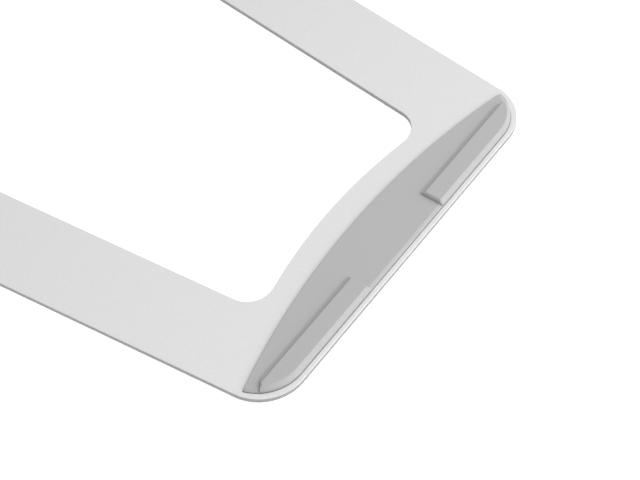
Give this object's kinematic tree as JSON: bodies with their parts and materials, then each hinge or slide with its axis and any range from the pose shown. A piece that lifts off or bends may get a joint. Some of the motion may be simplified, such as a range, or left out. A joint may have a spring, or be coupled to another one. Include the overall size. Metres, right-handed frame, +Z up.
{
  "type": "laptop stand",
  "caption": "Low sloping laptop stand: one bent aluminium sheet with an open middle and rear legs, a silicone front pad with raised stoppers, and silicone feet.",
  "frame": {"origin": "on the desk, at the middle of the footprint", "axes": "+X across the stand to its right, +Y from the front edge to the rear legs, +Z up"},
  "size_m": [0.2946, 0.2728, 0.0491],
  "materials": {
    "aluminium": "fine bead-blasted and clear anodised, light silver, with narrow polished chamfers along the top edges",
    "silicone": "mid-grey matte silicone with soft rounded edges",
    "tape": "thin dark grey double-sided adhesive tape, matte"
  },
  "bodies": {
    "root": {"stand_frame": "aluminium", "front_pad": "silicone", "front_pad_tape": "tape", "rear_pad_left": "silicone", "rear_pad_right": "silicone", "rear_pad_tape_left": "tape", "rear_pad_tape_right": "tape", "front_foot_left": "silicone", "front_foot_right": "silicone", "front_foot_tape_left": "tape", "front_foot_tape_right": "tape", "rear_foot_left": "silicone", "rear_foot_right": "silicone"}
  },
  "joints": []
}
